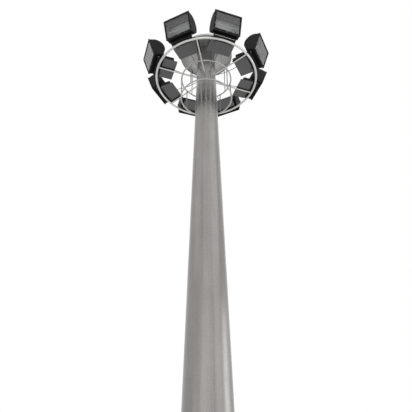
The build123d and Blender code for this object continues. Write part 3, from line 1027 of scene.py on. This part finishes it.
def make_anchor_nuts():
    """Threaded stud, washer and nut in every hole of the flange."""
    bm = bmesh.new()
    for index in range(ANCHORS["count"]):
        angle = math.radians(90) + math.tau * index / ANCHORS["count"]
        seat = level(angle, ANCHORS["pcd_mm"] / 2000, FLANGE_TOP)
        bolt(bm, seat, 0.075, 0.038, washer=0.008, stud=0.030)
        for turn in range(5):
            prism(bm, round_outline(0.0243), seat, 0.003, 0.0012, 0.048 + turn * STUD_TURN)
        shank = shifted(seat, 0, 0, -FLANGE_TOP + 0.004)
        prism(bm, round_outline(0.0238, 20), shank, FLANGE_TOP - 0.004)
    finish_piece("anchor_nuts", bm, ZINC_DULL)


def make_door_hinges():
    """Three hinges of three knuckles, each with a screwed leaf."""
    bm = bmesh.new()
    for height in (-0.36, 0.0, 0.36):
        row = upright(DOOR_ANGLE, DOOR_FACE - 0.006, DOOR_MIDDLE + height)
        edge = shifted(row, -DOOR_HALF_WIDTH - 0.007, 0).translation
        for index in range(3):
            foot = edge + Vector((0, 0, -0.045 + index * 0.0305))
            pin = placed(foot, sideways(DOOR_ANGLE), (0, 0, 1))
            prism(bm, round_outline(0.009, 18), pin, 0.029, 0.002)
        row = upright(DOOR_ANGLE, DOOR_FACE - 0.0002, DOOR_MIDDLE + height)
        leaf = shifted(row, -DOOR_HALF_WIDTH + 0.022, 0)
        prism(bm, rectangle(0.05, 0.07, 0.006), leaf, 0.0035, 0.001)
        for y in (-0.02, 0.02):
            prism(bm, round_outline(0.006, 16), shifted(leaf, 0.008, y, 0.0035), 0.003, 0.0012)
    finish_piece("door_hinges", bm, ZINC_DULL)


def make_door_locks():
    """Two round locks with a three-sided key."""
    bm = bmesh.new()
    for height in (-0.30, 0.30):
        row = upright(DOOR_ANGLE, DOOR_FACE - 0.0002, DOOR_MIDDLE + height)
        spot = shifted(row, DOOR_HALF_WIDTH - 0.04, 0)
        prism(bm, round_outline(0.019, 32), spot, 0.004, 0.0012)
        prism(bm, round_outline(0.011), spot, 0.003, 0.0008, 0.004)
        prism(bm, round_outline(0.006, 3, 0.5), spot, 0.003, 0.0, 0.006)
    finish_piece("door_locks", bm, ZINC_BRIGHT)


def make_door_beads():
    """Rubber seal behind the service door, and the stiffening line pressed into its face."""
    bm = bmesh.new()
    outline = rectangle(2 * DOOR_HALF_WIDTH - 0.024, 2 * DOOR_HALF_HEIGHT - 0.024, 0.06, 6)
    beading(bm, upright(DOOR_ANGLE, door_low.y - 0.0025, DOOR_MIDDLE), outline, 0.003)
    finish_piece("door_seal", bm, RUBBER, smooth=60.0)
    bm = bmesh.new()
    outline = rectangle(2 * DOOR_HALF_WIDTH - 0.09, 2 * DOOR_HALF_HEIGHT - 0.09, 0.05, 6)
    beading(bm, upright(DOOR_ANGLE, DOOR_FACE - 0.0012, DOOR_MIDDLE), outline, 0.0035)
    finish_piece("door_press_line", bm, ZINC, smooth=60.0)


def make_earth_bolt():
    low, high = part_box("earth_boss")
    angle = bearing((low + high) / 2)
    reach = max(p.dot(outward(angle)) for p in node_points("earth_boss"))
    bm = bmesh.new()
    bolt(bm, upright(angle, reach, (low.z + high.z) / 2), 0.024, 0.010, washer=0.0025, stud=0.004)
    finish_piece("earth_bolt", bm, ZINC_DULL)


def make_canopy_rim():
    """Rolled lower edge, two swages and the bead at the top of the canopy's rim."""
    bm = bmesh.new()
    hoop(bm, CANOPY_RADIUS - 0.0035, canopy_low.z + 0.0045, 0.0050, 10)
    for rise in (0.020, 0.038):
        hoop(bm, CANOPY_RADIUS - 0.0005, canopy_low.z + rise, 0.0028)
    hoop(bm, CANOPY_RADIUS - 0.001, canopy_low.z + CANOPY_RIM - 0.001, 0.0035)
    finish_piece("canopy_rim_swages", bm, CANOPY, smooth=60.0)


def make_canopy_laps():
    """Radial laps on top of the canopy with their screws, and the bolts of the head cap."""
    rim_top = canopy_low.z + CANOPY_RIM
    laps = bmesh.new()
    screws = bmesh.new()
    for index in range(12):
        angle = math.tau * index / 12 + 0.13
        outer = mast_point(angle, CANOPY_RADIUS - 0.006, rim_top + 0.0005)
        inner = mast_point(angle, CANOPY_CAP_RADIUS + 0.012, rim_top + CANOPY_RISE - 0.002)
        run = inner - outer
        up = run.cross(sideways(angle)).normalized()
        if up.z < 0:
            up.negate()
        plane = placed((outer + inner) / 2, run, up)
        prism(laps, rectangle(run.length, 0.030, 0.004), plane, 0.0022, 0.0008)
        for share in (0.1, 0.35, 0.6, 0.85):
            spot = shifted(plane, (share - 0.5) * run.length, 0, 0.0022)
            prism(screws, round_outline(0.0055, 14), spot, 0.0028, 0.0010)
    finish_piece("canopy_laps", laps, CANOPY)
    middle = (cap_low.z + cap_high.z) / 2
    for index in range(8):
        seat = upright(math.tau * index / 8 + 0.2, SHAFT_TOP_RADIUS + 0.0075, middle)
        bolt(screws, seat, 0.019, 0.008, washer=0.002)
    finish_piece("canopy_screws", screws, ZINC_DULL)


def make_stirrup_flanges():
    """Upturned flange that stiffens the outer edge of each stirrup's foot, between its legs."""
    foot = RING_HEIGHT + RING_TUBE + STIRRUP_SHEET
    points = [p for p in station_points("stirrups", 1.0, 0.3) if p[2] < foot + 0.0005]
    outer = max(p[0] for p in points)
    half = max(p[1] for p in points) - STIRRUP_SHEET - FLANGE_END_GAP
    bm = bmesh.new()
    for angle in LAMP_ANGLES:
        plane = upright(angle, outer - 0.0045, foot + FLANGE_RISE / 2)
        prism(bm, rectangle(2 * half, FLANGE_RISE, 0.004), plane, 0.004, 0.001)
    finish_piece("stirrup_flanges", bm, BLACK)


def make_tray_details():
    """Outer lips, rolled rims, rivets and fixing bolts of the gear trays."""
    inner, outer, half = station_size("gear_trays")
    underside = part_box("gear_trays")[0].z
    depth = outer - inner
    lips = bmesh.new()
    rims = bmesh.new()
    bolts = bmesh.new()
    for angle in LAMP_ANGLES:
        lip = rectangle(2 * half - 0.03, 0.064, 0.004)
        prism(lips, lip, level(angle, outer + 0.031, underside + 0.0015), 0.0025, 0.0006)
        plane = level(angle, (inner + outer) / 2, underside)
        beading(rims, plane, rectangle(2 * half - 0.004, depth - 0.004, 0.008), 0.0028, 0.0018)
        for x in (-1, 1):
            for y in (-1, 0, 1):
                head = shifted(plane, x * (half - 0.028), y * (depth / 2 - 0.03)) @ FLIP
                prism(bolts, round_outline(0.007, 14), head, 0.003, 0.0012)
        for x in (-0.18, 0.18):
            seat = shifted(level(angle, outer - 0.020, underside - 0.006), x, 0)
            bolt(bolts, seat @ FLIP, 0.013, 0.006, washer=0.0015)
    finish_piece("tray_lips", lips, BLACK)
    finish_piece("tray_rims", rims, TRAY, smooth=60.0)
    finish_piece("tray_bolts", bolts, ZINC_DULL)


def make_box_details():
    """Lids with a lapped edge, cooling ribs, latches and the conduit glands of the gear boxes."""
    inner, outer, half = station_size("gear_boxes")
    lid_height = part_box("gear_boxes")[1].z
    depth = outer - inner
    lids = bmesh.new()
    fittings = bmesh.new()
    for angle in LAMP_ANGLES:
        top = level(angle, (inner + outer) / 2, lid_height)
        prism(lids, rectangle(2 * half + 0.004, depth + 0.004, 0.006, 3), top, 0.0035, 0.0012, -0.0005)
        beading(lids, top, rectangle(2 * half + 0.0015, depth + 0.0015, 0.006, 3), 0.0025, -0.014)
        for index in range(9):
            rib = shifted(top, (index - 4) * (half / 5), 0, 0.003)
            prism(lids, rectangle(0.010, depth - 0.05, 0.004, 3), rib, 0.0075, 0.0025)
        for x in (-0.16, 0.16):
            latch = shifted(upright(angle, outer - 0.0003, lid_height - 0.022), x, 0)
            prism(fittings, rectangle(0.026, 0.036, 0.004), latch, 0.0028, 0.0010)
            prism(fittings, rectangle(0.014, 0.020, 0.003), latch, 0.0022, 0.0008, 0.0028)
        gland = upright(angle, inner + 0.0006, RING_HEIGHT + GLAND_RISE)
        gland = gland @ Matrix.Rotation(math.pi, 4, "Y")
        prism(fittings, hexagon(0.030), gland, 0.007, 0.0012)
        prism(fittings, round_outline(0.0125, 20), gland, 0.012, 0.0020, 0.007)
    finish_piece("box_lids", lids, BLACK)
    finish_piece("box_fittings", fittings, ZINC_DULL)


def make_conduit_sockets():
    """Welded sockets where the conduits leave the shaft."""
    bm = bmesh.new()
    height = RING_HEIGHT + CONDUIT_RISE
    for angle in LAMP_ANGLES:
        spot = upright(angle, shaft_radius(height) - 0.003, height)
        prism(bm, round_outline(0.0125, 20), spot, 0.014, 0.0025)
    finish_piece("conduit_sockets", bm, ZINC_DULL)


make_head_welds()
make_shaft_seam()
make_base_welds()
make_anchor_nuts()
make_door_hinges()
make_door_locks()
make_door_beads()
make_earth_bolt()
make_canopy_rim()
make_canopy_laps()
make_stirrup_flanges()
make_tray_details()
make_box_details()
make_conduit_sockets()
